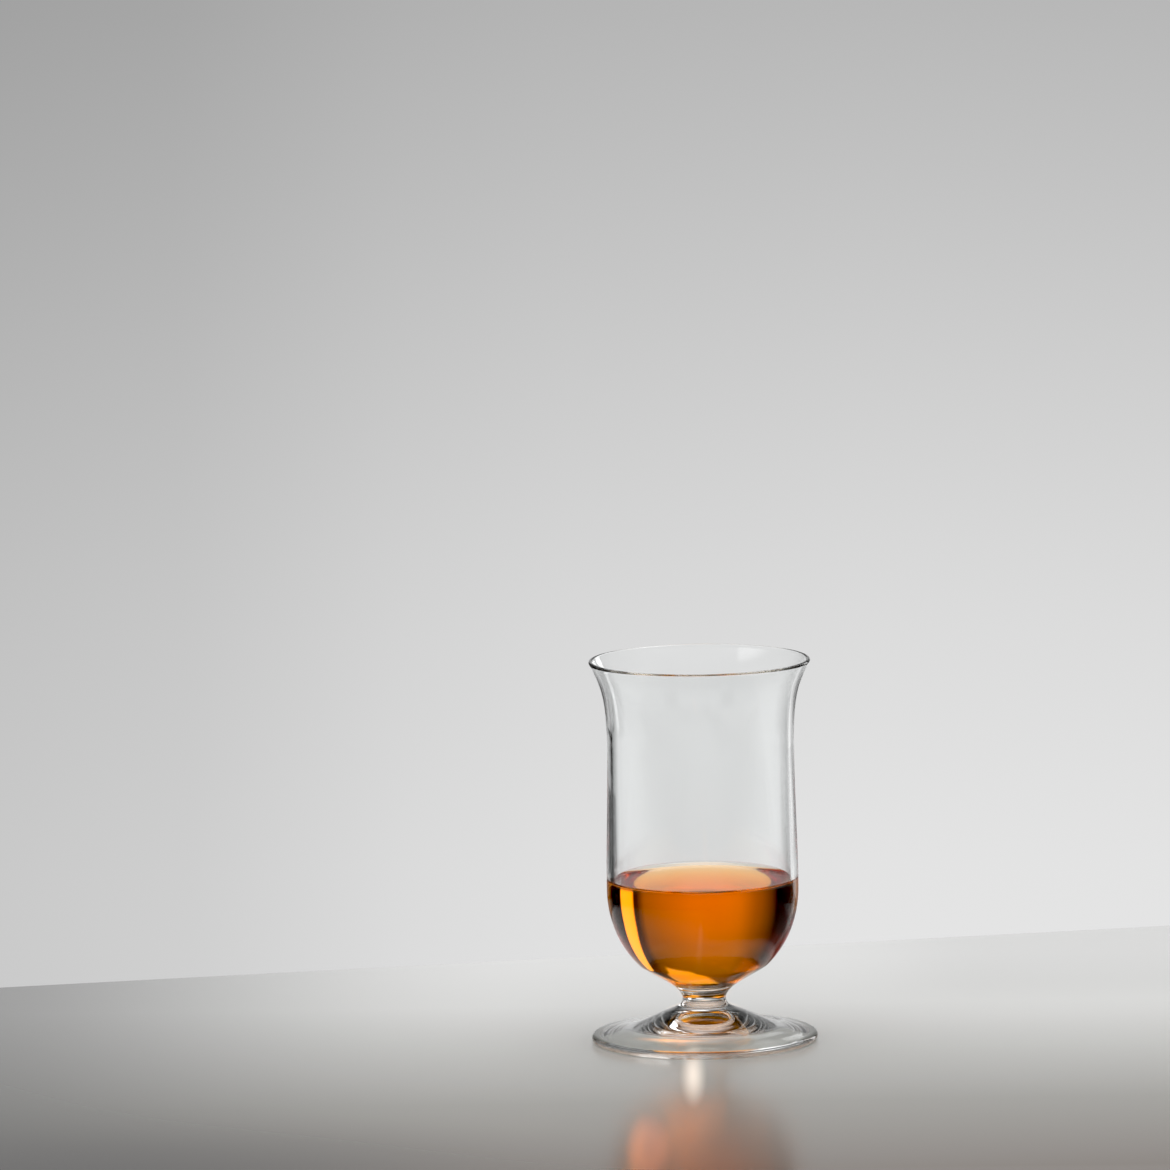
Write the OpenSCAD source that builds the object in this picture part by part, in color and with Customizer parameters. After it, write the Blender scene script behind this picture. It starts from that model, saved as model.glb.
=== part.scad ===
// Whisky nosing glass: a blown bowl with a flared lip, a short waisted stem,
// a domed foot and the pour of whisky that stands in the bowl.
// Every piece is a turned form about the Z axis. The table is at height zero.

/* [Glass] */
// Height of the whole glass, from the table to the top of the lip
glass_h = 115; // [105:0.5:125]

/* [Lip] */
// Diameter across the outside of the lip
lip_d = 66; // [60:0.5:72]
// Thickness of the glass at the fire-polished lip
lip_wall = 1.2; // [0.8:0.1:2]
// How far the lip leans out from upright, in degrees
lip_lean = 27; // [12:1:36]
// Length of the nearly straight stretch that runs up to the lip
lip_reach = 7; // [4:0.5:10]

/* [Neck] */
// Outside diameter at the neck, the narrowest ring of the upper bowl
neck_d = 55.8; // [50:0.1:60]
// Depth of the neck below the top of the lip
neck_drop = 26; // [22:0.5:32]
// Wall thickness at the neck
neck_wall = 1.6; // [1:0.1:2.6]
// Length over which the wall stays nearly upright above and below the neck
neck_reach = 15; // [9:0.5:18]

/* [Belly] */
// Outside diameter at the belly, the widest ring of the lower bowl
belly_d = 57.4; // [53:0.1:62]
// Height of the belly above the table
belly_h = 46; // [41:0.5:51]
// Wall thickness at the belly
belly_wall = 2.1; // [1.2:0.1:3]
// Length over which the wall stays nearly upright above the belly
belly_reach = 14; // [8:0.5:18]
// Thickness of the solid glass between the stem and the inside of the bowl
floor_wall = 3.6; // [2.5:0.1:6]

/* [Underside] */
// Height above the stem at which the round underside would close if it ran to the axis
underside_lift = 0.2; // [0:0.1:1]
// Diameter at which the round underside of the bowl starts to run straight to the stem
underside_d = 39; // [34:0.5:44]
// Length over which it leaves the round
underside_reach = 2; // [1:0.1:4]
// Length over which it turns down into the stem
turn_reach = 3.4; // [1:0.1:4.5]

/* [Stem] */
// Height of the stem between the foot and the bowl
stem_h = 3.9; // [3.2:0.1:7]
// Diameter of the stem where the bowl stands on it
stem_top_d = 14.6; // [13.6:0.1:16]
// Diameter of the stem at its waist
stem_waist_d = 12.9; // [11:0.1:13.4]
// Diameter of the stem where it stands on the foot
stem_base_d = 14.4; // [13.6:0.1:16]
// How far the stem leans out from upright where it meets the bowl, in degrees
stem_top_lean = 30; // [10:1:40]
// How far the stem leans out from upright where it meets the foot, in degrees
stem_base_lean = 40; // [20:1:50]
// Length of each of the four curves that shape the waist, along the outline
stem_reach = 0.8; // [0.4:0.1:1]

/* [Foot] */
// Diameter of the foot
foot_d = 67.6; // [60:0.2:75]
// Height of the crown of the foot, where the stem stands
foot_h = 10.9; // [10:0.1:14]
// Thickness of the foot at its rounded edge
foot_edge = 2.5; // [1.8:0.1:3.4]
// Diameter of the steep cone at the middle of the foot
cone_d = 24; // [20:0.5:28]
// Height of the steep cone at that diameter
cone_h = 8.7; // [7:0.1:9.4]
// Slope of the steep cone below level, in degrees
cone_slope = 24; // [16:1:32]
// Slope of the foot below level just inside its edge, in degrees
edge_slope = 6; // [2:1:10]
// Length over which the foot sweeps from the cone to the edge, at each end
sweep_reach = 9; // [5:0.5:12]
// Width of the flat ring that the glass rests on
rest_ring_w = 1.4; // [0.8:0.1:3]
// Rise of the hollow under the foot, from the table to its top at the axis
hollow_h = 6; // [3:0.1:6.4]

/* [Whisky] */
// Depth of the whisky at the middle of the bowl
pour_depth = 29.9; // [12:0.1:60]
// How high the whisky climbs the wall at its edge
meniscus_h = 1.1; // [0.4:0.1:1.6]
// Width of the ring in which it climbs
meniscus_w = 2; // [1:0.1:3]

/* [Hidden] */

// Round forms turn with this many steps, and each curve of an outline has these
turn_steps = 96;
curve_steps = 10;
underside_steps = 14;
short_steps = 5;
round_steps = 6;

// Length by which an outline that trims another one runs past it
overrun = 2;

// Radii of the outside of the glass
neck_r = neck_d / 2;
belly_r = belly_d / 2;
underside_r = underside_d / 2;
stem_top_r = stem_top_d / 2;
stem_waist_r = stem_waist_d / 2;
stem_base_r = stem_base_d / 2;
foot_r = foot_d / 2;
cone_r = cone_d / 2;

// Heights above the table
neck_h = glass_h - neck_drop;
stem_top_h = foot_h + stem_h;
underside_drop = belly_h - stem_top_h - underside_lift;
stem_waist_h = foot_h + stem_h / 2;
floor_h = stem_top_h + floor_wall;
pour_h = floor_h + pour_depth;

// The lip ends in a half circle about this point
lip_round = lip_wall / 2;
lip_centre = [lip_d / 2 - lip_round, glass_h - lip_round];

// The foot's edge is a half circle about this point
edge_round = foot_edge / 2;
edge_centre = [foot_r - edge_round, edge_round];

// Inner end of the flat ring that the glass rests on
hollow_r = edge_centre[0] - rest_ring_w;

// One point of a smooth curve that four control points pull
function curve_point(p, t) =
    pow(1 - t, 3) * p[0] + 3 * t * pow(1 - t, 2) * p[1]
    + 3 * pow(t, 2) * (1 - t) * p[2] + pow(t, 3) * p[3];

// Such a curve as points, without its first one
function curve(p, steps) = [for (i = [1:steps]) curve_point(p, i / steps)];

// Points on a circle about a centre, from one angle to another
function arc(centre, radius, from, to, steps) = [
    for (i = [0:steps])
        let (a = from + (to - from) * i / steps)
            centre + radius * [cos(a), sin(a)]
];

// The way up a wall that leans out from upright, and the way straight out of that wall
function up_wall(lean) = [sin(lean), cos(lean)];
function out_of_wall(lean) = [cos(lean), -sin(lean)];

// The way down a slope that falls outward
function down_slope(slope) = [cos(slope), -sin(slope)];

function reversed(points) = [for (i = [len(points) - 1:-1:0]) points[i]];

// A point of the round underside: a quarter of an ellipse from the belly, at angle zero, down
function underside_point(across, drop, a) = [across * cos(a), belly_h - drop * sin(a)];

// One side of the wall from the belly up to the lip, with the wall's thickness taken off inside
function upper_wall(belly, neck, lip_end) = concat(
    [[belly, belly_h]],
    curve([
        [belly, belly_h],
        [belly, belly_h + belly_reach],
        [neck, neck_h - neck_reach],
        [neck, neck_h]
    ], curve_steps),
    curve([
        [neck, neck_h],
        [neck, neck_h + neck_reach],
        lip_end - lip_reach * up_wall(lip_lean),
        lip_end
    ], curve_steps)
);

// Angle round the underside, from the belly, at which it starts to run to the stem
underside_end = acos(underside_r / belly_r);

// The outside of the bowl, from its flat joint with the stem up to the lip
function bowl_outside() =
    let (
        turn_start = underside_point(belly_r, underside_drop, underside_end),
        along = [belly_r * sin(underside_end), underside_drop * cos(underside_end)],
        turn = curve([
            turn_start,
            turn_start - underside_reach * along / norm(along),
            [stem_top_r, stem_top_h] + turn_reach * up_wall(stem_top_lean),
            [stem_top_r, stem_top_h]
        ], curve_steps),
        underside = [
            for (i = [0:underside_steps])
                underside_point(belly_r, underside_drop, underside_end * (1 - i / underside_steps))
        ],
        lip_end = lip_centre + lip_round * out_of_wall(lip_lean),
        wall = upper_wall(belly_r, neck_r, lip_end)
    )
    concat(reversed(turn), underside, [for (i = [1:len(wall) - 1]) wall[i]]);

// The inside of the bowl, from the middle of its floor up to the lip
function bowl_inside() =
    let (
        across = belly_r - belly_wall,
        drop = belly_h - floor_h,
        floor = [
            for (i = [0:underside_steps - 1])
                underside_point(across, drop, 90 * (1 - i / underside_steps))
        ],
        lip_end = lip_centre - lip_round * out_of_wall(lip_lean)
    )
    concat(floor, upper_wall(across, neck_r - neck_wall, lip_end));

// The blown bowl: one wall that swells at the belly, draws in at the neck and flares to the lip
module bowl() {
    lip = arc(lip_centre, lip_round, -lip_lean, 180 - lip_lean, round_steps);
    lip_between_ends = [for (i = [1:round_steps - 1]) lip[i]];
    color([0.86, 0.91, 0.92, 0.35])
        rotate_extrude($fn = turn_steps)
            polygon(concat(
                [[0, stem_top_h]],
                bowl_outside(),
                lip_between_ends,
                reversed(bowl_inside())
            ));
}

// The short waisted stem, with a flat joint at each end
module stem() {
    base = [stem_base_r, foot_h];
    waist = [stem_waist_r, stem_waist_h];
    top = [stem_top_r, stem_top_h];
    up = [0, stem_reach];
    lower_curve = curve([
        base,
        base + stem_reach * up_wall(-stem_base_lean),
        waist - up,
        waist
    ], short_steps);
    upper_curve = curve([
        waist,
        waist + up,
        top - stem_reach * up_wall(stem_top_lean),
        top
    ], short_steps);
    color([0.84, 0.90, 0.90, 0.45])
        rotate_extrude($fn = turn_steps)
            polygon(concat(
                [[0, foot_h], base],
                lower_curve,
                upper_curve,
                [[0, stem_top_h]]
            ));
}

// The domed foot: a steep cone under the stem that sweeps out to a thin rounded edge,
// with a flat ring to rest on and inside it a hollow that is steepest at the ring
module foot() {
    crown = [stem_base_r, foot_h];
    cone = [cone_r, cone_h];
    edge_top = edge_centre + edge_round * up_wall(edge_slope);
    cone_curve = curve([
        crown,
        crown - stem_reach * up_wall(-stem_base_lean),
        cone - stem_reach * down_slope(cone_slope),
        cone
    ], short_steps);
    sweep_curve = curve([
        cone,
        cone + sweep_reach * down_slope(cone_slope),
        edge_top - sweep_reach * down_slope(edge_slope),
        edge_top
    ], curve_steps);
    edge = arc(edge_centre, edge_round, 90 - edge_slope, -90, round_steps);
    edge_after_top = [for (i = [1:round_steps]) edge[i]];
    hollow = [
        for (i = [0:curve_steps])
            let (out_share = 1 - i / curve_steps)
                [hollow_r * out_share, hollow_h * (1 - pow(out_share, 2))]
    ];
    color([0.80, 0.86, 0.85, 0.45])
        rotate_extrude($fn = turn_steps)
            polygon(concat(
                [[0, foot_h], crown],
                cone_curve,
                sweep_curve,
                edge_after_top,
                hollow
            ));
}

// The pour: it fills the bowl's own inside up to its level and climbs the wall a little
module whisky() {
    inside = bowl_inside();
    wall_r = lookup(pour_h, [for (p = inside) [p[1], p[0]]]);
    past_wall_r = wall_r + overrun;
    meniscus = [
        for (i = [0:round_steps])
            let (share = i / round_steps)
                [wall_r - meniscus_w * (1 - share), pour_h + meniscus_h * pow(share, 2)]
    ];
    color([0.86, 0.42, 0.03, 0.85])
        rotate_extrude($fn = turn_steps)
            intersection() {
                polygon(concat([[0, glass_h]], inside));
                polygon(concat(
                    [[0, floor_h - overrun], [past_wall_r, floor_h - overrun]],
                    [[past_wall_r, pour_h + meniscus_h]],
                    reversed(meniscus),
                    [[0, pour_h]]
                ));
            }
}

bowl();
stem();
foot();
whisky();
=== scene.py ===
from math import acos, cos, exp, pi, radians, sin

import bmesh
import bpy
from mathutils import Matrix, Vector


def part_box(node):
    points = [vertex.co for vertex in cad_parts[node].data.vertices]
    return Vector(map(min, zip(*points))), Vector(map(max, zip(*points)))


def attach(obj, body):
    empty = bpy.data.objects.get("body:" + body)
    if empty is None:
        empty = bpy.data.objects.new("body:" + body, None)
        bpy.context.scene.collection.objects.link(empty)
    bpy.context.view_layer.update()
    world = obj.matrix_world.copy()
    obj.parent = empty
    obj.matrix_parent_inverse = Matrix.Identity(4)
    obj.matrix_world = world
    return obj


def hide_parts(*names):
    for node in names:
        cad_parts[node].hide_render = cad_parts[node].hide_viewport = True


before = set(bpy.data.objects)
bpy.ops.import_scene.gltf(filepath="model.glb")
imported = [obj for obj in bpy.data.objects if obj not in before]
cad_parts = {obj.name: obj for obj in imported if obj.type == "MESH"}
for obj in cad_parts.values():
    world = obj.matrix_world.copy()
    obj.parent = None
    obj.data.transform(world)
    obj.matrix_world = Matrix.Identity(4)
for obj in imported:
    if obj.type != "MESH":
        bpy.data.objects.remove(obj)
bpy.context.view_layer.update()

# The looks of a whisky nosing glass: a blown bowl, its short waisted stem, its domed foot and the
# pour in it. The outlines repeat the part's own, from the same named sizes, with finer steps.

MM = 0.001

# Heights that the CAD nodes give
GLASS_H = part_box("bowl")[1][2]
FOOT_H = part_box("foot")[1][2]
STEM_TOP_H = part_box("stem")[1][2]
FLOOR_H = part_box("whisky")[0][2]

# Lip: its outside radius, thickness, lean from upright and straight reach
LIP_R = 33.0 * MM
LIP_WALL = 1.2 * MM
LIP_LEAN = radians(27)
LIP_REACH = 7 * MM

# Neck: outside radius, height, wall and the length over which it stays upright
NECK_R = 27.9 * MM
NECK_H = GLASS_H - 26 * MM
NECK_WALL = 1.6 * MM
NECK_REACH = 15 * MM

# Belly, likewise
BELLY_R = 28.7 * MM
BELLY_H = 46 * MM
BELLY_WALL = 2.1 * MM
BELLY_REACH = 14 * MM

# Underside of the bowl, an ellipse that ends just over the stem's top, and its turn into the stem
UNDERSIDE_CLEAR = 0.2 * MM
UNDERSIDE_DROP = BELLY_H - STEM_TOP_H - UNDERSIDE_CLEAR
UNDERSIDE_R = 19.5 * MM
UNDERSIDE_REACH = 2 * MM
TURN_REACH = 3.4 * MM

# Stem
STEM_TOP_R = 7.3 * MM
STEM_WAIST_R = 6.45 * MM
STEM_BASE_R = 7.2 * MM
STEM_TOP_LEAN = radians(30)
STEM_BASE_LEAN = radians(40)
STEM_REACH = 0.8 * MM

# Foot
FOOT_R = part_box("foot")[1][0]
FOOT_EDGE = 2.5 * MM
CONE_R = 12 * MM
CONE_H = 8.7 * MM
CONE_SLOPE = radians(24)
EDGE_SLOPE = radians(6)
SWEEP_REACH = 9 * MM
REST_RING_W = 1.4 * MM
HOLLOW_H = 6 * MM

# Pour: the level at its middle, and the meniscus that climbs the wall
MENISCUS_H = 1.1 * MM
MENISCUS_FADE = 0.9 * MM
MENISCUS_REACH = 6 * MENISCUS_FADE
POUR_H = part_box("whisky")[1][2] - MENISCUS_H

# How far the pour's mesh runs into the glass, so that light goes from one into the other with no air
# between them, and how this thins out below the whisky's skin
SEAL = 0.12 * MM
SEAL_FADE = 2 * MM
SEAL_LEAST = 0.06

# How finely the outlines are drawn and turned, how near two points are to be one, and what counts as a
# flat face at a joint's height
TURN_STEPS = 240
CURVE_STEPS = 36
FOOT_STEPS = 80
ROUND_STEPS = 16
SAME_POINT = 0.002 * MM
FLAT_UP = 0.999
AT_JOINT = 0.01 * MM


# Outlines: each is a list of (radius, height)

def curve(pulls, steps):
    """A smooth curve that four control points pull, without its first point."""
    a, b, c, d = pulls
    ways = [i / steps for i in range(1, steps + 1)]
    return [
        (1 - t) ** 3 * a + 3 * t * (1 - t) ** 2 * b + 3 * t * t * (1 - t) * c + t ** 3 * d for t in ways
    ]


def up_wall(lean):
    """The way up a wall that leans outwards by an angle."""
    return Vector((sin(lean), cos(lean)))


def out_of_wall(lean):
    """The way straight out of such a wall."""
    return Vector((cos(lean), -sin(lean)))


def down_slope(slope):
    """The way outwards and down a slope."""
    return Vector((cos(slope), -sin(slope)))


def arc(centre, radius, start, end, steps):
    angles = [start + (end - start) * i / steps for i in range(steps + 1)]
    return [centre + radius * Vector((cos(a), sin(a))) for a in angles]


def underside_point(across, drop, angle):
    """A point on the ellipse under the belly, by its angle below the belly's height."""
    return Vector((across * cos(angle), BELLY_H - drop * sin(angle)))


def upper_wall(belly, neck, lip_end):
    """One side of the wall from the belly up to the lip."""
    up = Vector((0, 1))
    belly_ring = Vector((belly, BELLY_H))
    neck_ring = Vector((neck, NECK_H))
    to_neck = [belly_ring, belly_ring + BELLY_REACH * up, neck_ring - NECK_REACH * up, neck_ring]
    to_lip = [neck_ring, neck_ring + NECK_REACH * up, lip_end - LIP_REACH * up_wall(LIP_LEAN), lip_end]
    return [belly_ring] + curve(to_neck, CURVE_STEPS) + curve(to_lip, CURVE_STEPS)


LIP_ROUND = LIP_WALL / 2
LIP_CENTRE = Vector((LIP_R - LIP_ROUND, GLASS_H - LIP_ROUND))


def bowl_outside():
    """From the flat joint with the stem, down the belly's round and up to the lip."""
    angle = acos(UNDERSIDE_R / BELLY_R)
    start = underside_point(BELLY_R, UNDERSIDE_DROP, angle)
    along = Vector((BELLY_R * sin(angle), UNDERSIDE_DROP * cos(angle))).normalized()
    joint = Vector((STEM_TOP_R, STEM_TOP_H))
    turn = curve([
        start, start - UNDERSIDE_REACH * along, joint + TURN_REACH * up_wall(STEM_TOP_LEAN), joint,
    ], CURVE_STEPS)
    round_part = [
        underside_point(BELLY_R, UNDERSIDE_DROP, angle * (1 - i / CURVE_STEPS))
        for i in range(CURVE_STEPS + 1)
    ]
    wall = upper_wall(BELLY_R, NECK_R, LIP_CENTRE + LIP_ROUND * out_of_wall(LIP_LEAN))
    return turn[::-1] + round_part + wall[1:]


def bowl_inside():
    """From the middle of the bowl's floor up to the lip."""
    across = BELLY_R - BELLY_WALL
    drop = BELLY_H - FLOOR_H
    floor = [
        underside_point(across, drop, pi / 2 * (1 - i / (2 * CURVE_STEPS)))
        for i in range(2 * CURVE_STEPS)
    ]
    wall = upper_wall(across, NECK_R - NECK_WALL, LIP_CENTRE - LIP_ROUND * out_of_wall(LIP_LEAN))
    return floor + wall


def bowl_outline():
    lip = arc(LIP_CENTRE, LIP_ROUND, -LIP_LEAN, pi - LIP_LEAN, ROUND_STEPS)
    return [Vector((0, STEM_TOP_H))] + bowl_outside() + lip[1:-1] + bowl_inside()[::-1]


def stem_outline():
    base = Vector((STEM_BASE_R, FOOT_H))
    waist = Vector((STEM_WAIST_R, (FOOT_H + STEM_TOP_H) / 2))
    top = Vector((STEM_TOP_R, STEM_TOP_H))
    up = Vector((0, STEM_REACH))
    lower = curve([base, base + STEM_REACH * up_wall(-STEM_BASE_LEAN), waist - up, waist], ROUND_STEPS)
    upper = curve([waist, waist + up, top - STEM_REACH * up_wall(STEM_TOP_LEAN), top], ROUND_STEPS)
    return [Vector((0, FOOT_H)), base] + lower + upper + [Vector((0, STEM_TOP_H))]


def foot_outline():
    crown = Vector((STEM_BASE_R, FOOT_H))
    cone = Vector((CONE_R, CONE_H))
    edge_round = FOOT_EDGE / 2
    edge_centre = Vector((FOOT_R - edge_round, edge_round))
    edge_top = edge_centre + edge_round * up_wall(EDGE_SLOPE)
    hollow_r = edge_centre.x - REST_RING_W
    shoulder = curve([
        crown, crown - STEM_REACH * up_wall(-STEM_BASE_LEAN),
        cone - STEM_REACH * down_slope(CONE_SLOPE), cone,
    ], 2 * ROUND_STEPS)
    sweep = curve([
        cone, cone + SWEEP_REACH * down_slope(CONE_SLOPE),
        edge_top - SWEEP_REACH * down_slope(EDGE_SLOPE), edge_top,
    ], FOOT_STEPS)
    edge = arc(edge_centre, edge_round, pi / 2 - EDGE_SLOPE, -pi / 2, ROUND_STEPS)
    shares = [1 - i / FOOT_STEPS for i in range(FOOT_STEPS + 1)]
    hollow = [Vector((hollow_r * share, HOLLOW_H * (1 - share ** 2))) for share in shares]
    return [Vector((0, FOOT_H)), crown] + shoulder + sweep + edge[1:] + hollow


def whisky_outline():
    """The bowl's inside, a little into the glass, up to the level, and the top with its meniscus."""
    inside = bowl_inside()
    wall = []
    for i, point in enumerate(inside):
        if point.y >= POUR_H + MENISCUS_H:
            break
        way = (inside[i + 1] - inside[max(i - 1, 0)]).normalized()
        into_glass = Vector((way.y, -way.x))
        wall.append(point + seal_at(point.y) * into_glass)
    wall[0] = Vector((0, FLOOR_H - SEAL))
    # the wall's last stretch, straight up to where the whisky's skin meets the glass
    last, beyond = inside[len(wall) - 1], inside[len(wall)]
    steps = [i / ROUND_STEPS for i in range(1, ROUND_STEPS + 1)]
    top = last.lerp(beyond, (POUR_H + MENISCUS_H - last.y) / (beyond.y - last.y))
    for share in steps:
        point = last.lerp(top, share)
        wall.append(point + Vector((seal_at(point.y), 0)))
    # the skin climbs steeper and steeper towards the wall
    skin = []
    for i in range(3 * ROUND_STEPS):
        away = MENISCUS_REACH * (i / (3 * ROUND_STEPS)) ** 2
        skin.append(Vector((wall[-1].x - away, POUR_H + MENISCUS_H * exp(-away / MENISCUS_FADE))))
    flat_r = wall[-1].x - MENISCUS_REACH
    level = [Vector((flat_r * (1 - i / ROUND_STEPS), POUR_H)) for i in range(ROUND_STEPS + 1)]
    return wall + skin[1:] + level


def seal_at(height):
    """The seal thins out to nearly nothing where the whisky's skin meets the glass."""
    below_skin = (POUR_H + MENISCUS_H - height) / SEAL_FADE
    return SEAL * max(SEAL_LEAST, min(1, below_skin))


# Making pieces

def turned(name, outline):
    """A solid turned about Z from its outline: an eighth of a turn, then doubled three times."""
    bm = bmesh.new()
    rim = [bm.verts.new((p.x, 0, p.y)) for p in outline]
    edges = [bm.edges.new(pair) for pair in zip(rim, rim[1:])]
    bmesh.ops.spin(
        bm, geom=rim + edges, cent=(0, 0, 0), axis=(0, 0, 1), dvec=(0, 0, 0),
        angle=pi / 4, steps=TURN_STEPS // 8,
        use_merge=False, use_normal_flip=False, use_duplicate=False,
    )
    for angle in (pi / 4, pi / 2, pi):
        made = bmesh.ops.duplicate(bm, geom=bm.verts[:] + bm.edges[:] + bm.faces[:])["geom"]
        corners = [part for part in made if isinstance(part, bmesh.types.BMVert)]
        bmesh.ops.rotate(bm, cent=(0, 0, 0), matrix=Matrix.Rotation(angle, 3, "Z"), verts=corners)
    bmesh.ops.remove_doubles(bm, verts=bm.verts, dist=SAME_POINT)
    bmesh.ops.recalc_face_normals(bm, faces=bm.faces)
    for face in bm.faces:
        face.smooth = True
    mesh = bpy.data.meshes.new(name)
    bm.to_mesh(mesh)
    bm.free()
    piece = bpy.data.objects.new(name, mesh)
    bpy.context.scene.collection.objects.link(piece)
    return piece


def hide_joint(piece, *heights):
    """Gives the flat faces of a fused joint the material that can't be seen."""
    piece.data.materials.append(fused_joint)
    for face in piece.data.polygons:
        flat = abs(face.normal.z) > FLAT_UP
        if flat and any(abs(face.center.z - height) < AT_JOINT for height in heights):
            face.material_index = 1
            face.use_smooth = False


# Materials

def colour(hex_code):
    """An sRGB hex colour as the linear numbers that a shader takes."""
    shares = [int(hex_code[i:i + 2], 16) / 255 for i in (1, 3, 5)]
    return [s / 12.92 if s <= 0.04045 else ((s + 0.055) / 1.055) ** 2.4 for s in shares] + [1]


def node(tree, kind, settings={}, links={}):
    """Adds a node, with its settings and the sockets that feed its inputs."""
    new = tree.nodes.new(kind)
    for key, value in settings.items():
        if isinstance(key, str) and hasattr(new, key):
            setattr(new, key, value)
        else:
            new.inputs[key].default_value = value
    for key, socket in links.items():
        tree.links.new(socket, new.inputs[key])
    return new


def new_material(name):
    material = bpy.data.materials.new(name)
    material.use_nodes = True
    material.node_tree.nodes.clear()
    return material, material.node_tree


def overlap(tree, *masks):
    """Where all the masks lie over each other."""
    whole = masks[0]
    for mask in masks[1:]:
        whole = node(tree, "ShaderNodeMath", {"operation": "MULTIPLY"}, {0: whole, 1: mask}).outputs["Value"]
    return whole


# Whisky hides the crystal's glare on the inside of the bowl. Its edge runs this deep in the wall there,
# this far below its level and this far under the floor.
WET_DEPTH = 0.8 * MM
WET_BELOW_LEVEL = 0.2 * MM
WET_UNDER_FLOOR = 0.5 * MM
DRY_GLARE = (1, 1, 1, 1)
WET_GLARE = (0.05, 0.05, 0.05, 1)


def wetted(tree, place):
    """Full glare everywhere but where whisky touches crystal, since their indices nearly match there."""
    at = node(tree, "ShaderNodeSeparateXYZ", {}, {"Vector": place.outputs["Object"]}).outputs
    # the inside of the bowl is an ellipsoid below the belly and goes straight up above it
    rise = node(tree, "ShaderNodeMath", {"operation": "SUBTRACT", 1: BELLY_H}, {0: at["Z"]})
    sunk = node(tree, "ShaderNodeMath", {"operation": "MINIMUM", 1: 0.0}, {0: rise.outputs["Value"]})
    point = node(tree, "ShaderNodeCombineXYZ", {}, {"X": at["X"], "Y": at["Y"], "Z": sunk.outputs["Value"]})
    across = BELLY_R - BELLY_WALL + WET_DEPTH
    drop = BELLY_H - FLOOR_H + WET_DEPTH
    squeezed = node(tree, "ShaderNodeVectorMath", {
        "operation": "MULTIPLY", 1: (1 / across, 1 / across, 1 / drop),
    }, {0: point.outputs["Vector"]})
    reach = node(tree, "ShaderNodeVectorMath", {"operation": "LENGTH"}, {0: squeezed.outputs["Vector"]})
    wet = overlap(tree, *[
        node(tree, "ShaderNodeMath", {"operation": test, 1: limit}, {0: measure}).outputs["Value"]
        for test, limit, measure in [
            ("LESS_THAN", POUR_H - WET_BELOW_LEVEL, at["Z"]),
            ("GREATER_THAN", FLOOR_H - WET_UNDER_FLOOR, at["Z"]),
            ("LESS_THAN", 1.0, reach.outputs["Value"]),
        ]
    ])
    glare = node(tree, "ShaderNodeMix", {"data_type": "RGBA", 6: DRY_GLARE, 7: WET_GLARE}, {0: wet})
    return glare.outputs[2]


# Slow waves in the surfaces, from crest to crest and in height: what blowing and fire-polishing leave in
# crystal, and the faint unrest of a liquid
CRYSTAL_WAVE, CRYSTAL_WAVE_H = 14 * MM, 0.004 * MM
WHISKY_DRIFT, WHISKY_DRIFT_H = 11 * MM, 0.001 * MM


def lead_free_crystal():
    """Blown and fire-polished: clear as water, with slow waves that bend what is seen through it."""
    material, tree = new_material("lead_free_crystal_fire_polished")
    place = node(tree, "ShaderNodeTexCoord")
    waves = node(tree, "ShaderNodeTexNoise", {
        "Scale": 1 / CRYSTAL_WAVE, "Detail": 1.0, "Roughness": 0.4,
    }, {"Vector": place.outputs["Object"]})
    bump = node(tree, "ShaderNodeBump", {
        "Strength": 1.0, "Distance": CRYSTAL_WAVE_H,
    }, {"Height": waves.outputs["Fac"]})
    glass = node(tree, "ShaderNodeBsdfPrincipled", {
        "Base Color": colour("#FEFFFF"), "Roughness": 0.0, "IOR": 1.52, "Transmission Weight": 1.0,
    }, {"Normal": bump.outputs["Normal"], "Specular Tint": wetted(tree, place)})
    node(tree, "ShaderNodeOutputMaterial", {}, {"Surface": glass.outputs["BSDF"]})
    return material


def amber_whisky():
    """A malt of full gold: it stays clear, and gets deeper and redder the further light goes in it."""
    material, tree = new_material("cask_aged_whisky_liquid")
    place = node(tree, "ShaderNodeTexCoord")
    drift = node(tree, "ShaderNodeTexNoise", {
        "Scale": 1 / WHISKY_DRIFT, "Detail": 1.0, "Roughness": 0.4,
    }, {"Vector": place.outputs["Object"]})
    bump = node(tree, "ShaderNodeBump", {
        "Strength": 1.0, "Distance": WHISKY_DRIFT_H,
    }, {"Height": drift.outputs["Fac"]})
    liquid = node(tree, "ShaderNodeBsdfPrincipled", {
        "Base Color": colour("#FFFFFF"), "Roughness": 0.0, "IOR": 1.36, "Transmission Weight": 1.0,
    }, {"Normal": bump.outputs["Normal"], "Specular Tint": wetted(tree, place)})
    depth = node(tree, "ShaderNodeVolumeAbsorption", {"Color": colour("#FFDF3F"), "Density": 120.0})
    node(tree, "ShaderNodeOutputMaterial", {}, {
        "Surface": liquid.outputs["BSDF"], "Volume": depth.outputs["Volume"],
    })
    return material


def invisible_joint():
    """Bowl, stem and foot are fused hot, so the flat joint between them can't be seen at all."""
    material, tree = new_material("hot_fused_joint")
    clear = node(tree, "ShaderNodeBsdfTransparent")
    node(tree, "ShaderNodeOutputMaterial", {}, {"Surface": clear.outputs["BSDF"]})
    return material


crystal = lead_free_crystal()
whisky_liquid = amber_whisky()
fused_joint = invisible_joint()

# Pieces

bowl = turned("crystal_bowl", bowl_outline())
bowl.data.materials.append(crystal)
hide_joint(bowl, STEM_TOP_H)

stem = turned("crystal_stem", stem_outline())
stem.data.materials.append(crystal)
hide_joint(stem, STEM_TOP_H, FOOT_H)

foot = turned("crystal_foot", foot_outline())
foot.data.materials.append(crystal)
hide_joint(foot, FOOT_H)

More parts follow.
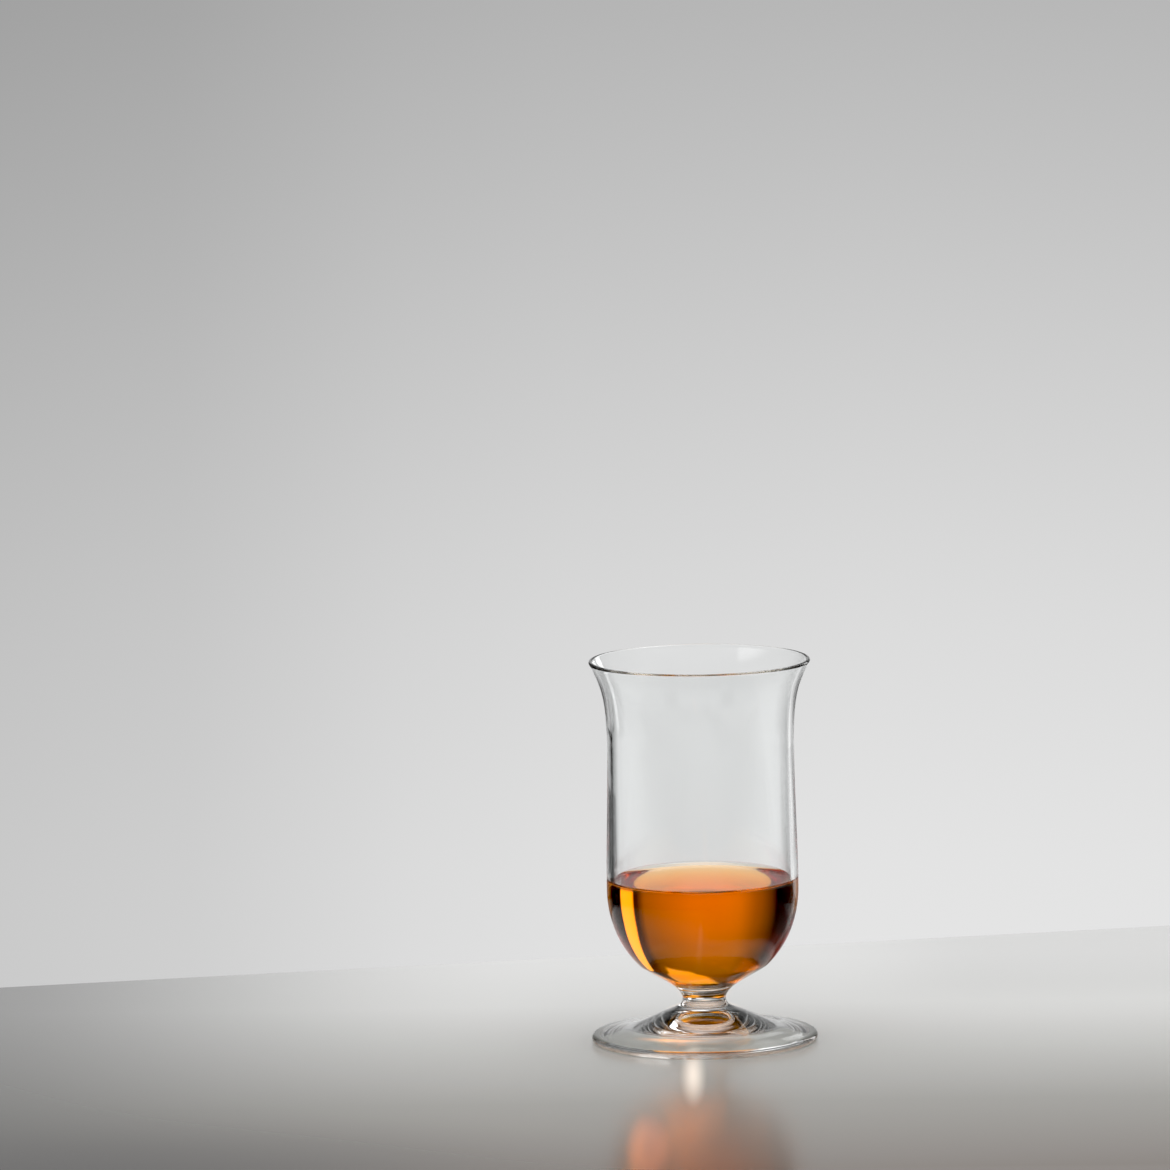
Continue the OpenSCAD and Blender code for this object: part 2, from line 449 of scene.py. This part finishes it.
pour = turned("whisky_pour", whisky_outline())
pour.data.materials.append(whisky_liquid)

for piece, cad_node, slot in [
    (bowl, "bowl", "crystal"),
    (stem, "stem", "crystal"),
    (foot, "foot", "crystal"),
    (pour, "whisky", "whisky"),
]:
    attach(piece, "root")
    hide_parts(cad_node)


# Table

# The tabletop's tone from front to back, by metres along Y: painted shade, the falloff of the light painted
# into its colour
TABLE_PAINTED_FALLOFF_TONES = [(-0.5, "#D6D4D0"), (-0.20, "#756B63"), (-0.1, "#9B9993"), (0.06, "#E8E8E6"), (0.14, "#EFEFEE")]

# The tabletop ends close behind the glass, on a line that the photograph shows as a faint edge
TABLE_EDGE_LEFT = Vector((-0.1634, 0.1193, 0))
TABLE_EDGE_RIGHT = Vector((0.091, 0.1757, 0))
TABLE_EDGE_REACH = 1.6
TABLE_FRONT_X, TABLE_FRONT_Y = 2.0, -2.2

# Light that has met more surfaces than this on its way to the table has been bent round by the glass
STRAIGHT_DEPTH = 2.5


def left_by(tree, amount, *masks):
    """What is left of the light where the masks lie over each other and take an amount of it away."""
    shade = overlap(tree, *masks)
    kept = node(tree, "ShaderNodeMath", {"operation": "MULTIPLY_ADD", 1: -amount, 2: 1.0}, {0: shade})
    return kept.outputs["Value"]


def pool(tree, point, centre, radii, core):
    """A soft oval on the table, one within its core and nothing outside its radii, all in mm."""
    (x, y), (across, along) = centre, radii
    centred = node(tree, "ShaderNodeVectorMath", {
        "operation": "SUBTRACT", 1: (x * MM, y * MM, 0),
    }, {0: point})
    squeezed = node(tree, "ShaderNodeVectorMath", {
        "operation": "MULTIPLY", 1: (1 / (across * MM), 1 / (along * MM), 0),
    }, {0: centred.outputs["Vector"]})
    away = node(tree, "ShaderNodeVectorMath", {"operation": "LENGTH"}, {0: squeezed.outputs["Vector"]})
    return node(tree, "ShaderNodeMapRange", {
        "interpolation_type": "SMOOTHSTEP", "From Min": 1.0, "From Max": core,
    }, {"Value": away.outputs["Value"]}).outputs["Result"]


def tabletop_material():
    """Pale satin lacquer, with the falloff of the light towards the front and the left painted into its
    colour as shade, and painted pools of light and reflection glowing on it.
    """
    material, tree = new_material("pale_satin_tabletop_painted_light_and_shade")
    point = node(tree, "ShaderNodeTexCoord").outputs["Object"]
    at = node(tree, "ShaderNodeSeparateXYZ", {}, {"Vector": point}).outputs
    away = node(tree, "ShaderNodeVectorMath", {"operation": "LENGTH"}, {0: point}).outputs["Value"]
    path = node(tree, "ShaderNodeLightPath").outputs
    mirrored, refracted = path["Is Reflection Ray"], path["Is Transmission Ray"]
    depth = path["Ray Depth"]
    straight, bent = [
        node(tree, "ShaderNodeMath", {"operation": test, 1: STRAIGHT_DEPTH}, {0: depth}).outputs["Value"]
        for test in ("LESS_THAN", "GREATER_THAN")
    ]

    # painted shade: the light's falloff from front to back, as a ramp in the table's colour
    front, back = TABLE_PAINTED_FALLOFF_TONES[0][0], TABLE_PAINTED_FALLOFF_TONES[-1][0]
    fall = node(tree, "ShaderNodeMapRange", {"From Min": front, "From Max": back}, {"Value": at["Y"]})
    painted_falloff_tone = node(tree, "ShaderNodeValToRGB", {}, {"Fac": fall.outputs["Result"]})
    ramp = painted_falloff_tone.color_ramp.elements
    ramp[0].color = colour(TABLE_PAINTED_FALLOFF_TONES[0][1])
    ramp[1].color = colour(TABLE_PAINTED_FALLOFF_TONES[-1][1])
    for y, shade in TABLE_PAINTED_FALLOFF_TONES[1:-1]:
        ramp.new((y - front) / (back - front)).color = colour(shade)

    # parts of the table, each with what it is measured by, and in metres where it starts and where it is full
    part = {}
    for name, measure, starts, full in [
        ("left", at["X"], -0.05, -0.24),
        ("in sight at the left", at["X"], -0.5, -0.3),
        ("right", at["X"], -0.02, 0.04),
        ("far right", at["X"], 0.035, 0.09),
        ("in front", at["Y"], -0.034, -0.042),
        ("at the back", at["Y"], 0.03, 0.10),
        ("behind the glass", at["Y"], 0.05, 0.09),
        ("under the foot", away, 0.036, 0.029),
        ("beside the foot", away, 0.040, 0.048),
        ("clear of the foot", away, 0.05, 0.065),
        ("not far off", away, 0.19, 0.15),
        ("far off", away, 0.165, 0.205),
    ]:
        part[name] = node(tree, "ShaderNodeMapRange", {
            "interpolation_type": "SMOOTHSTEP", "From Min": starts, "From Max": full,
        }, {"Value": measure}).outputs["Result"]
    # a painted pool of light behind the glass, the brightest of the light it gathers on the table
    painted_bright_pool = pool(tree, point, (0, 50), (12.5, 18), 0.35)

    # painted shade and painted shadows on the table, multiplied into its colour
    level = overlap(
        tree,
        # painted shade: the light falls off to the left, most of all in front, and a little at the back on
        # the right
        left_by(tree, 0.7, part["left"], part["in sight at the left"]),
        left_by(tree, 0.6, pool(tree, point, (-170, -200), (170, 110), 0.1)),
        left_by(tree, 0.1, part["far right"], part["at the back"]),
        # painted shade in what the glass mirrors: the table is dark far off and at the right
        left_by(tree, 0.95, mirrored, part["far off"]),
        left_by(tree, 0.9, mirrored, part["clear of the foot"], part["right"],
                left_by(tree, 0.45, part["behind the glass"])),
        # painted shadow of the whisky: it takes most of the light off the table in front of the glass and
        # beside it
        left_by(tree, 0.85, refracted, part["beside the foot"], part["not far off"], part["in front"]),
        # painted shade: what the rim of the foot bends round from under it is dark
        left_by(tree, 0.45, bent, part["under the foot"]),
        # and the brightest painted pool of light hides the painted tone under it
        left_by(tree, 0.6, painted_bright_pool),
    )

    # painted light, glowing from the tabletop: pools that the glass and the whisky gather on the table, in
    # the place of their shadow, a painted streak of gathered light in front of the stem, and a painted orange
    # reflection of the whisky further in front
    painted_light_pools = None
    for shade, strength, *masks in [
        ("#FFD7B0", 0.95, painted_bright_pool),
        ("#FFC58A", 0.3, pool(tree, point, (0, 88), (9.5, 32), 0.3)),
        ("#DADBD2", 0.33, part["under the foot"], straight),
        ("#EDBE98", 0.28, pool(tree, point, (0, 27), (22, 14), 0.3)),
        ("#FFA850", 0.7, pool(tree, point, (-9, -7), (14, 9), 0.2), straight),
        ("#FFF0E0", 0.55, pool(tree, point, (-3.6, -58), (4.4, 56), 0.0)),
        ("#FF8A50", 0.22, pool(tree, point, (-16.5, -168), (7.5, 62), 0.3)),
    ]:
        tint = [s * strength for s in colour(shade)[:3]]
        light = node(tree, "ShaderNodeVectorMath", {
            "operation": "SCALE", 0: tint,
        }, {"Scale": overlap(tree, *masks)}).outputs["Vector"]
        if painted_light_pools is not None:
            light = node(tree, "ShaderNodeVectorMath", {
                "operation": "ADD",
            }, {0: painted_light_pools, 1: light}).outputs["Vector"]
        painted_light_pools = light

    paint = node(tree, "ShaderNodeVectorMath", {
        "operation": "SCALE",
    }, {0: painted_falloff_tone.outputs["Color"], "Scale": level})
    # the painted shade is the base colour, and the painted light glows from the tabletop as emission
    lacquer = node(tree, "ShaderNodeBsdfPrincipled", {
        "Roughness": 0.2, "IOR": 1.45, "Emission Strength": 1.0,
    }, {"Base Color": paint.outputs["Vector"], "Emission Color": painted_light_pools})
    node(tree, "ShaderNodeOutputMaterial", {}, {"Surface": lacquer.outputs["BSDF"]})
    return material


def tabletop():
    """A flat tabletop, far wider than the view, because the glass mirrors and bends more of it."""
    bm = bmesh.new()
    way = (TABLE_EDGE_RIGHT - TABLE_EDGE_LEFT).normalized()
    corners = [
        TABLE_EDGE_LEFT - TABLE_EDGE_REACH * way, TABLE_EDGE_RIGHT + TABLE_EDGE_REACH * way,
        Vector((TABLE_FRONT_X, TABLE_FRONT_Y, 0)), Vector((-TABLE_FRONT_X, TABLE_FRONT_Y, 0)),
    ]
    # named from the front left, so that the face looks up
    bm.faces.new([bm.verts.new(corner) for corner in reversed(corners)])
    mesh = bpy.data.meshes.new("tabletop")
    bm.to_mesh(mesh)
    bm.free()
    table = bpy.data.objects.new("tabletop", mesh)
    table.data.materials.append(tabletop_material())
    bpy.context.scene.collection.objects.link(table)


tabletop()


# Light: a studio all round, all of it in the world. The pale backdrop is lit behind the glass and falls off
# to its sides, with a dark card at each side of it, a bright strip at the right and a softbox above it.
#
# Each list has brightness by angle in degrees. Azimuth is nought behind the glass and grows to the right,
# and elevation is nought at the horizon.

# The backdrop behind the glass, and how it fades upwards
BACKDROP_TURN = [
    (-180, 0.8), (-154, 0.75), (-149, 0.03), (-137, 0.03), (-132, 0.6), (-82, 0.6), (-62, 0.6), (-58, 0.4),
    (-55, 0.2), (-50, 0.06), (-46, 0.02), (-44, 0.0), (-31, 0.0), (-26, 0.2), (-18, 0.52), (-12, 0.92),
    (-8, 1.0), (2, 1.0), (4, 0.97), (10, 0.8), (18, 0.57), (21, 0.5), (25, 0.08), (39, 0.0), (49, 0.0),
    (51, 0.01), (53, 0.04), (56, 0.2), (60, 0.55), (65, 0.8), (82, 0.7), (132, 0.6), (137, 0.03), (149, 0.03),
    (154, 0.75), (180, 0.8),
]
BACKDROP_HEIGHT = [
    (-30, 0.70), (-15, 0.74), (-11, 0.77), (-9.5, 0.77), (-8, 0.80), (-6, 0.85), (-2, 0.79), (2, 0.72),
    (5, 0.64), (8, 0.55), (12, 0.54), (18, 0.40), (23, 0.36), (30, 0.28), (40, 0.22), (48, 0.3), (58, 0.9),
    (90, 0.9),
]

# Half way up, as the flanks of the foot and the ends of the whisky's surface show it
MID_TURN = [
    (-180, 0.5), (-160, 0.4), (-154, 0.25), (-149, 0.03), (-137, 0.03), (-132, 0.25), (-120, 0.35),
    (-104, 0.28), (-82, 0.25), (-66, 0.07), (-55, 0.03), (-44, 0.0), (-31, 0.0), (-26, 0.2), (-18, 0.52),
    (-12, 0.92), (-8, 1.0), (2, 1.0), (4, 0.97), (10, 0.8), (18, 0.57), (21, 0.5), (25, 0.08), (39, 0.0),
    (49, 0.0), (51, 0.02), (60, 0.1), (70, 0.26), (98, 0.28), (108, 0.9), (116, 0.8), (130, 0.5),
    (137, 0.03), (149, 0.03), (154, 0.4), (180, 0.5),
]

# High up, as the stem and the shoulder of the foot show it
HIGH_TURN = [
    (-180, 0.05), (-166, 0.05), (-158, 0.08), (-148, 0.2), (-136, 0.3), (-122, 0.25), (-104, 0.12),
    (-88, 0.1), (-62, 0.04), (-35, 0.1), (-20, 0.1), (0, 0.08), (14, 0.1), (20, 0.25), (27, 0.7), (36, 0.8),
    (46, 0.6), (56, 0.8), (66, 1.6), (90, 1.6), (104, 1.0), (118, 0.6), (130, 0.35), (150, 0.15),
    (160, 0.08), (166, 0.05), (180, 0.05),
]
TOP_TURN = [
    (-180, 0.03), (-100, 0.05), (-80, 0.08), (10, 0.05), (18, 0.12), (26, 0.4), (45, 0.5), (80, 0.6),
    (120, 0.35), (148, 0.1), (158, 0.05), (180, 0.03),
]

# Low down, as the clear wall shows it, and a faint glimmer in the dark card at the left
LOW_TURN = [
    (-180, 0.62), (-63, 0.62), (-49, 0.7), (-45, 0.45), (-43, 0.12), (-40, 0.03), (-38, 0.0), (-28, 0.0),
    (-26, 0.28), (-22, 0.37), (-18, 0.52), (-15, 0.6), (-12, 0.74), (-10, 0.82), (-8, 0.86), (-5, 0.88),
    (-3, 0.84), (-1, 0.78), (1, 0.78), (3, 0.86), (5, 0.9), (7, 0.9), (9, 0.85), (11, 0.78), (14, 0.62),
    (18, 0.47), (22, 0.48), (25, 0.6), (28, 0.72), (30, 0.95), (33, 1.0), (37, 1.0), (40, 0.8), (44, 0.6),
    (50, 0.8), (56, 0.75), (63, 0.7), (180, 0.62),
]
GLIMMER_HEIGHT = [
    (-30, 0.0), (-22, 0.3), (-20, 0.4), (-13, 0.4), (-11.6, 0.3), (-10.8, 0.12), (-10.2, 0.0), (-10.05, 0.05),
    (-9.7, 0.05), (-9.4, 0.1), (-9.1, 0.04), (-8.8, 0.0), (0, 0.0),
]

# The room in front of the studio, as the outside of the glass mirrors it
ROOM_TURN = [(-180, 0.03), (-45, 0.03), (-38, 0.0), (38, 0.0), (45, 0.03), (180, 0.03)]

# The backdrop as the camera sees it
BACKGROUND_TURN = [
    (-20, 0.6), (-10, 0.66), (-5, 0.74), (-3.1, 0.81), (-1.8, 0.92), (-0.8, 0.965), (1, 1.0), (5, 1.0),
    (20, 0.8),
]
BACKGROUND_HEIGHT = [
    (-30, 0.70), (-14, 0.74), (-11, 0.78), (-9.6, 0.78), (-9, 0.76), (-7.76, 0.71), (-6.5, 0.63),
    (-5.3, 0.55), (-4.15, 0.48), (-2, 0.38), (2, 0.30), (8, 0.28), (90, 0.28),
]

# Lit panels, each with its azimuths, its elevations, how soft its edges are, and its brightness
STRIP = (27.7, 38), (-8.2, 36), 0.9, 2.2
SOFTBOX = (-20, 18.3), (22.5, 44.5), 1.5, 1.15
OVERHEAD = (25, 115), (54, 82), 6, 3.2
SMALL_PANELS = [
    ((-130, -80), (34, 66), 4, 2.4),  # for the lip
    ((100, 135), (56, 72), 4, 1.5),
    ((22, 40), (44, 66), 3, 0.9),  # for the golden patch at the bottom of the whisky
    ((-34, -23), (29, 50), 3, 0.4),
]

# The strip leans to the right as it goes up, and the softbox is cut off aslant
LEAN_FROM, LEAN_TO, LEAN = radians(5), radians(40), radians(-5.25)
SOFTBOX_SLANT = 0.82

SOFT_LIGHT = 1.05


def by_angle(tree, angle, stops):
    """Brightness at angles in degrees, joined by straight lines."""
    low, high = radians(stops[0][0]), radians(stops[-1][0])
    share = node(tree, "ShaderNodeMapRange", {"From Min": low, "From Max": high}, {"Value": angle})
    graph = node(tree, "ShaderNodeFloatCurve", {}, {"Value": share.outputs["Result"]})
    line = graph.mapping.curves[0]
    points = [((radians(a) - low) / (high - low), value) for a, value in stops]
    line.points[0].location = points[0]
    line.points[1].location = points[-1]
    for point in points[1:-1]:
        line.points.new(*point)
    for point in line.points:
        point.handle_type = "VECTOR"
    graph.mapping.update()
    return graph.outputs["Value"]


def together(tree, *lights):
    """The brightness of several lights at once."""
    whole = lights[0]
    for light in lights[1:]:
        whole = node(tree, "ShaderNodeMath", {"operation": "ADD"}, {0: whole, 1: light}).outputs["Value"]
    return whole


def window(tree, angle, low, high, soft):
    """One between two angles in degrees and nothing outside them, with soft edges."""
    return overlap(tree, *[
        node(tree, "ShaderNodeMapRange", {
            "interpolation_type": "SMOOTHSTEP",
            "From Min": radians(edge - outwards), "From Max": radians(edge + outwards),
        }, {"Value": angle}).outputs["Result"]
        for edge, outwards in ((low, soft), (high, -soft))
    ])


def panel(tree, azimuth, elevation, turn, height, soft, brightness):
    """A lit panel between two azimuths and two elevations."""
    shape = overlap(tree, window(tree, azimuth, *turn, soft), window(tree, elevation, *height, soft))
    return node(tree, "ShaderNodeMath", {"operation": "MULTIPLY", 1: brightness}, {0: shape}).outputs["Value"]


def studio():
    """The light all round, which each kind of light path sees in its own way."""
    world = bpy.data.worlds.new("studio")
    world.use_nodes = True
    tree = world.node_tree
    tree.nodes.clear()
    way = node(tree, "ShaderNodeTexCoord").outputs["Generated"]
    along = node(tree, "ShaderNodeSeparateXYZ", {}, {"Vector": way}).outputs
    azimuth = node(tree, "ShaderNodeMath", {
        "operation": "ARCTAN2",
    }, {0: along["X"], 1: along["Y"]}).outputs["Value"]
    elevation = node(tree, "ShaderNodeMath", {"operation": "ARCSINE"}, {0: along["Z"]}).outputs["Value"]

    # low down, the dark card glimmers, and has a dark line in it
    glimmer = overlap(tree, window(tree, azimuth, -38, -20, 1), by_angle(tree, elevation, GLIMMER_HEIGHT))
    dark_line = window(tree, azimuth, -38, -15.5, 1), window(tree, elevation, -10.95, -10.2, 0.08)
    wall_light = overlap(
        tree, together(tree, by_angle(tree, azimuth, LOW_TURN), glimmer), left_by(tree, 1.0, *dark_line))

    # the backdrop as the glass sees it, from the horizon, and then as it is in each zone above and below
    height = by_angle(tree, elevation, BACKDROP_HEIGHT)
    behind = overlap(tree, height, by_angle(tree, azimuth, BACKDROP_TURN))
    for low, high, soft, brightness in [
        (7, 100, 2, overlap(tree, height, by_angle(tree, azimuth, MID_TURN))),
        (40, 100, 2, by_angle(tree, azimuth, HIGH_TURN)),
        (66, 100, 3, by_angle(tree, azimuth, TOP_TURN)),
        (-60, -8.7, 0.3, wall_light),
    ]:
        behind = node(tree, "ShaderNodeMix", {"data_type": "FLOAT"}, {
            0: window(tree, elevation, low, high, soft), 2: behind, 3: brightness,
        }).outputs[0]

    lean = node(tree, "ShaderNodeMapRange", {
        "From Min": LEAN_FROM, "From Max": LEAN_TO, "To Max": LEAN,
    }, {"Value": elevation}).outputs["Result"]
    strip = panel(tree, together(tree, azimuth, lean), elevation, *STRIP)
    slant = node(tree, "ShaderNodeMath", {
        "operation": "MULTIPLY_ADD", 1: SOFTBOX_SLANT,
    }, {0: elevation, 2: azimuth}).outputs["Value"]
    softbox = overlap(tree, panel(tree, azimuth, elevation, *SOFTBOX), window(tree, slant, 24, 100, 2))
    small_panels = [panel(tree, azimuth, elevation, *size) for size in SMALL_PANELS]
    seen_by_glass = together(tree, behind, strip, softbox, *small_panels)

    # what shines on the outside of the glass: the middle of the backdrop, the strip and the overhead light
    middle = overlap(
        tree, window(tree, azimuth, -40, 40, 2),
        left_by(tree, 0.7, window(tree, azimuth, -60, -12, 2)),
        left_by(tree, 0.4, window(tree, azimuth, 12, 27, 2)),
    )
    shine = together(
        tree, overlap(tree, behind, middle), by_angle(tree, azimuth, ROOM_TURN),
        strip, panel(tree, azimuth, elevation, *OVERHEAD),
    )
    seen_by_camera = overlap(
        tree, by_angle(tree, elevation, BACKGROUND_HEIGHT), by_angle(tree, azimuth, BACKGROUND_TURN))

    # each kind of light path gets its own brightness, and diffuse ones the same soft light from all sides
    path = node(tree, "ShaderNodeLightPath").outputs
    brightness = seen_by_glass
    for kind, seen in [
        ("Is Reflection Ray", shine),
        ("Is Diffuse Ray", None),
        ("Is Camera Ray", seen_by_camera),
    ]:
        links = {0: path[kind], 2: brightness}
        if seen is not None:
            links[3] = seen
        brightness = node(tree, "ShaderNodeMix", {"data_type": "FLOAT", 3: SOFT_LIGHT}, links).outputs[0]
    light = node(tree, "ShaderNodeBackground", {"Strength": 1.0}, {"Color": brightness})
    node(tree, "ShaderNodeOutputWorld", {}, {"Surface": light.outputs["Background"]})
    world.cycles.sampling_method = "NONE"
    bpy.context.scene.world = world


studio()

# Camera: as the photograph was taken, with a long lens from a little above the lip
LENS_MM = 292.5
SENSOR_MM = 36
CAMERA_AT = 0, -2.8, 0.515
CAMERA_TO_LEFT, CAMERA_DOWN, CAMERA_ROLL = radians(0.687), radians(7.673), radians(-0.973)

camera_data = bpy.data.cameras.new("camera")
camera_data.sensor_width = SENSOR_MM
camera_data.lens = LENS_MM
camera = bpy.data.objects.new("camera", camera_data)
camera.matrix_world = (
    Matrix.Translation(CAMERA_AT) @ Matrix.Rotation(CAMERA_TO_LEFT, 4, "Z")
    @ Matrix.Rotation(pi / 2 - CAMERA_DOWN, 4, "X") @ Matrix.Rotation(CAMERA_ROLL, 4, "Z")
)
bpy.context.scene.collection.objects.link(camera)
bpy.context.scene.camera = camera

# Clear glass inside glass needs long light paths, and the plain view keeps the whisky's colour
CLEAR_BOUNCES = 96
JOINT_BOUNCES = 24
BLACK_LEVEL = 0.012

settings = bpy.context.scene
settings.view_settings.view_transform = "Standard"
settings.view_settings.use_curve_mapping = True
settings.view_settings.curve_mapping.black_level = [BLACK_LEVEL] * 3
settings.cycles.max_bounces = CLEAR_BOUNCES
settings.cycles.transmission_bounces = CLEAR_BOUNCES
settings.cycles.glossy_bounces = CLEAR_BOUNCES
settings.cycles.transparent_max_bounces = JOINT_BOUNCES
